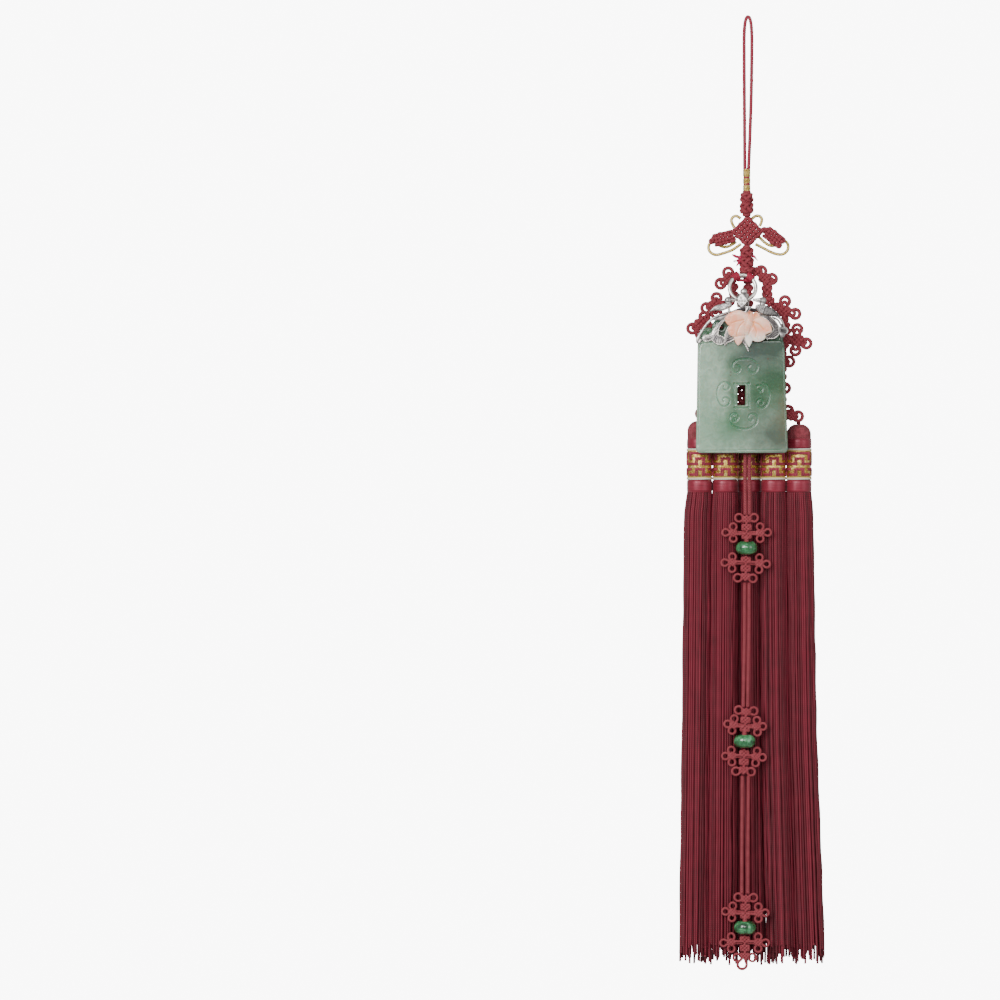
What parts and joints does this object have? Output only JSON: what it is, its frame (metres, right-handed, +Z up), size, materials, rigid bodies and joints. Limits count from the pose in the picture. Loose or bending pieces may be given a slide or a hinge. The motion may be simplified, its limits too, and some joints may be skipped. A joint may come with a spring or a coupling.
{
  "type": "norigae pendant ornament",
  "caption": "Hanging dress ornament of knotted crimson silk with a silver-mounted jade plaque, coral butterfly, silk tassels and a beaded drop cord.",
  "frame": {"origin": "inner crook of the hanging loop, where the whole ornament hangs", "axes": "+Z up along the hanging line, +X to the right seen from the front, the front faces -Y"},
  "size_m": [0.0649, 0.0294, 0.4297],
  "materials": {
    "silk_cord": "satin braided silk",
    "tassel_silk": "lustrous twisted silk threads",
    "drop_silk": "fine braided silk",
    "gold_thread": "gilt foil wound on thread",
    "gold_sleeve": "gilt foil with raised crimson thread",
    "silver": "darkened worked silver",
    "coral": "polished pale coral",
    "jade": "polished mottled jade",
    "green_bead": "glossy green"
  },
  "bodies": {
    "knotwork": {"hanging_loop": "silk_cord", "upper_knot": "silk_cord", "neck_knot": "silk_cord", "centre_knot": "silk_cord", "side_knot_left": "silk_cord", "side_knot_right": "silk_cord", "knot_chain_left_upper": "silk_cord", "knot_chain_right_upper": "silk_cord", "knot_chain_left_lower": "silk_cord", "knot_chain_right_lower": "silk_cord", "centre_chain": "silk_cord", "back_panel": "silk_cord", "ring_lashing": "silk_cord", "drop_knot": "silk_cord", "loop_binding": "gold_thread", "gold_ear_left": "gold_thread", "gold_ear_right": "gold_thread", "gold_wing_left": "gold_thread", "gold_wing_right": "gold_thread", "ring": "silver", "tassel_1": "tassel_silk", "tassel_1_sleeve": "gold_sleeve", "tassel_2": "tassel_silk", "tassel_2_sleeve": "gold_sleeve", "tassel_3": "tassel_silk", "tassel_3_sleeve": "gold_sleeve", "tassel_4": "tassel_silk", "tassel_4_sleeve": "gold_sleeve", "tassel_5": "tassel_silk", "tassel_5_sleeve": "gold_sleeve", "drop_cord_upper_left": "drop_silk", "drop_cord_upper_right": "drop_silk", "drop_cord_middle_left": "drop_silk", "drop_cord_middle_right": "drop_silk", "drop_cord_lower_left": "drop_silk", "drop_cord_lower_right": "drop_silk", "flower_knot_1_upper": "drop_silk", "flower_knot_1_lower": "drop_silk", "bead_1": "green_bead", "flower_knot_2_upper": "drop_silk", "flower_knot_2_lower": "drop_silk", "bead_2": "green_bead", "flower_knot_3_upper": "drop_silk", "flower_knot_3_lower": "drop_silk", "bead_3": "green_bead"},
    "pendant": {"silver_mount": "silver", "butterfly": "coral", "jade_plaque": "jade"}
  },
  "joints": [
    {"name": "pendant_swing", "type": "hinge", "parent": "knotwork", "child": "pendant", "pos_m": [-0.0026, -0.00585, -0.12663], "axis": [-1, 0, 0], "range_deg": [0, 60]}
  ]
}
